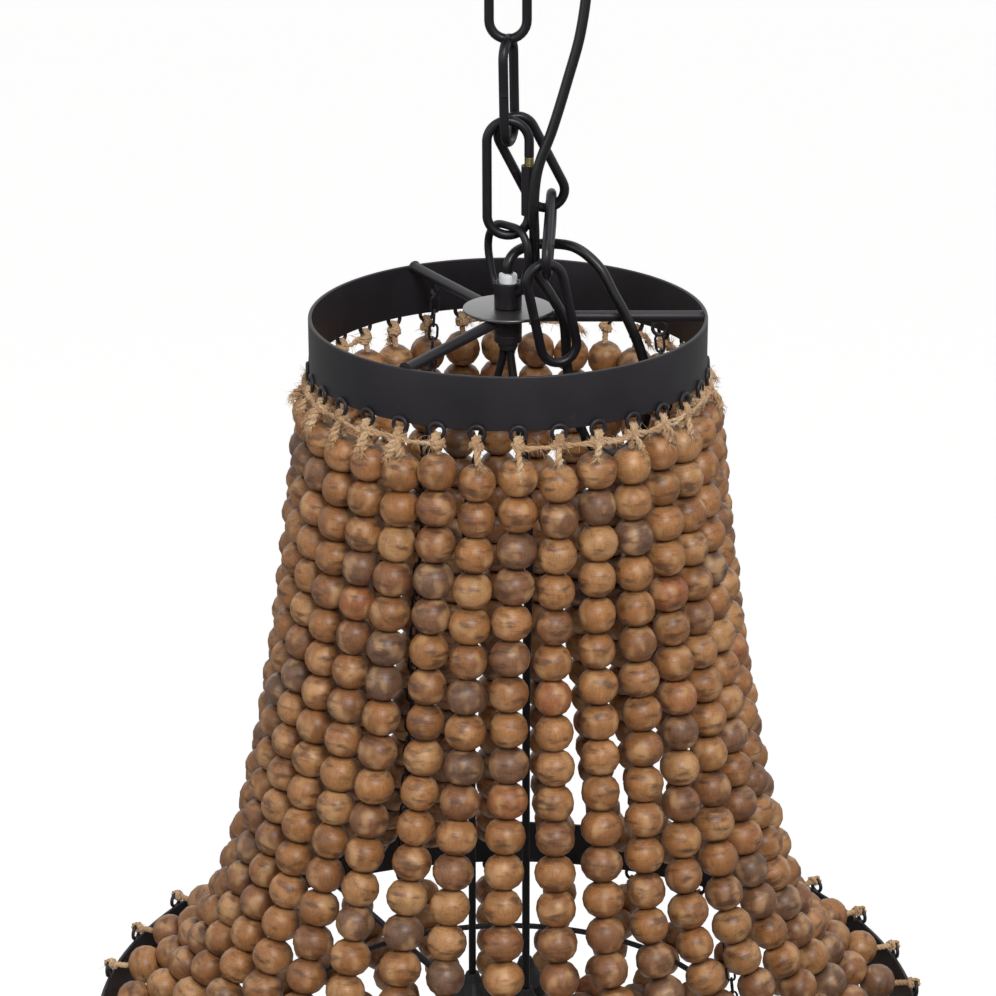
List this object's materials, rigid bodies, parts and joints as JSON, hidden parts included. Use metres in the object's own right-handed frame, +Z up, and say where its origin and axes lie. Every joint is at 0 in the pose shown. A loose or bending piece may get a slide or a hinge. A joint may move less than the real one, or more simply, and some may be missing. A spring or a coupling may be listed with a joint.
{
  "type": "beaded pendant chandelier",
  "caption": "Bell-shaped chandelier of wooden bead strands between black iron rings, hung on a chain with a quick link, cable and ceiling canopy.",
  "frame": {"origin": "middle of the ceiling bracket's top face, where it lies on the ceiling", "axes": "+Z up along the chain, +X right and -Y towards the viewer of the picture"},
  "size_m": [0.556, 0.556, 0.8821],
  "materials": {
    "black_iron": "satin",
    "zinc_steel": "satin",
    "grey_satin": "satin",
    "black_plastic": "matte",
    "white_plastic": "semi-gloss",
    "black_sheath": "semi-gloss",
    "bead_wood": "satin"
  },
  "bodies": {
    "ceiling_fitting": {"ceiling_bracket": "zinc_steel", "canopy": "black_iron", "canopy_nipple": "zinc_steel", "bracket_nut": "zinc_steel", "canopy_nut": "zinc_steel", "canopy_loop": "black_iron", "cable_gland": "black_plastic", "gland_nut": "black_plastic", "terminal_block": "white_plastic", "canopy_cable": "black_sheath", "supply_cable": "black_sheath"},
    "link_1": {"chain_link_1": "black_iron"},
    "link_2": {"chain_link_2": "black_iron"},
    "quick_link": {"quick_link": "black_iron"},
    "sleeve": {"quick_link_sleeve": "black_iron"},
    "bail": {"bail": "black_iron"},
    "lamp": {"hub_collar": "black_iron", "hub_disc": "grey_satin", "hub_body": "black_iron", "cord_grip": "white_plastic", "hub_nipple": "zinc_steel", "lead_outlet": "black_iron", "spoke_1": "black_iron", "spoke_2": "black_iron", "spoke_3": "black_iron", "crown_band": "black_iron", "big_ring": "black_iron", "inner_ring": "black_iron", "lamp_carrier": "black_iron", "bottom_ring": "black_iron", "load_chain_1": "black_iron", "load_chain_2": "black_iron", "load_chain_3": "black_iron", "lampholder_1": "black_plastic", "lampholder_2": "black_plastic", "lampholder_3": "black_plastic", "lampholder_cap_1": "black_plastic", "lampholder_cap_2": "black_plastic", "lampholder_cap_3": "black_plastic", "shade_ring_1": "black_plastic", "shade_ring_2": "black_plastic", "shade_ring_3": "black_plastic", "lamp_lead_1": "black_sheath", "lamp_lead_2": "black_sheath", "lamp_lead_3": "black_sheath", "upper_strands_1": "bead_wood", "upper_strands_2": "bead_wood", "upper_strands_3": "bead_wood", "upper_strands_4": "bead_wood", "upper_strands_5": "bead_wood", "upper_strands_6": "bead_wood", "upper_strands_7": "bead_wood", "upper_strands_8": "bead_wood", "lower_strands_1": "bead_wood", "lower_strands_2": "bead_wood", "lower_strands_3": "bead_wood", "lower_strands_4": "bead_wood"},
    "tail_1": {"tail_link_1": "black_iron"},
    "tail_2": {"tail_link_2": "black_iron"},
    "tail_3": {"tail_link_3": "black_iron"}
  },
  "joints": [
    {"name": "first_link_swing", "type": "hinge", "parent": "ceiling_fitting", "child": "link_1", "pos_m": [0, 0, -0.0673], "axis": [0, 1, 0], "range_deg": [-20, 20], "deforming": ["supply_cable"]},
    {"name": "second_link_swing", "type": "hinge", "parent": "link_1", "child": "link_2", "pos_m": [0, 0, -0.1258], "axis": [1, 0, 0], "range_deg": [-20, 20], "deforming": ["supply_cable"]},
    {"name": "quick_link_swing", "type": "hinge", "parent": "link_2", "child": "quick_link", "pos_m": [0, 0.0033, -0.18095], "axis": [0, 1, 0], "range_deg": [-12, 12], "deforming": ["supply_cable"]},
    {"name": "sleeve_screw", "type": "slide", "parent": "quick_link", "child": "sleeve", "axis": [0, 0, 1], "range_m": [0, 0.015]},
    {"name": "bail_swing", "type": "hinge", "parent": "quick_link", "child": "bail", "pos_m": [0, 0, -0.2493], "axis": [1, 0, 0], "range_deg": [-12, 6], "deforming": ["supply_cable"]},
    {"name": "lamp_swing", "type": "hinge", "parent": "bail", "child": "lamp", "pos_m": [0, 0, -0.2845], "axis": [0.7071, -0.7071, 0], "range_deg": [-12, 8], "deforming": ["supply_cable"]},
    {"name": "tail_first_swing", "type": "hinge", "parent": "link_2", "child": "tail_1", "pos_m": [0, 0.0033, -0.18095], "axis": [0, 1, 0], "range_deg": [-12, 12]},
    {"name": "tail_second_swing", "type": "hinge", "parent": "tail_1", "child": "tail_2", "pos_m": [0.03106, 0.01421, -0.2328], "axis": [1, 0, 0], "range_deg": [-12, 6]},
    {"name": "tail_third_swing", "type": "hinge", "parent": "tail_2", "child": "tail_3", "pos_m": [0.02378, -0.03258, -0.26555], "axis": [0.7071, -0.7071, 0], "range_deg": [-12, 8]}
  ],
  "couplings": [
    {"joint": "tail_first_swing", "follows": "quick_link_swing", "ratio": 1},
    {"joint": "tail_second_swing", "follows": "bail_swing", "ratio": 1},
    {"joint": "tail_third_swing", "follows": "lamp_swing", "ratio": 1}
  ]
}
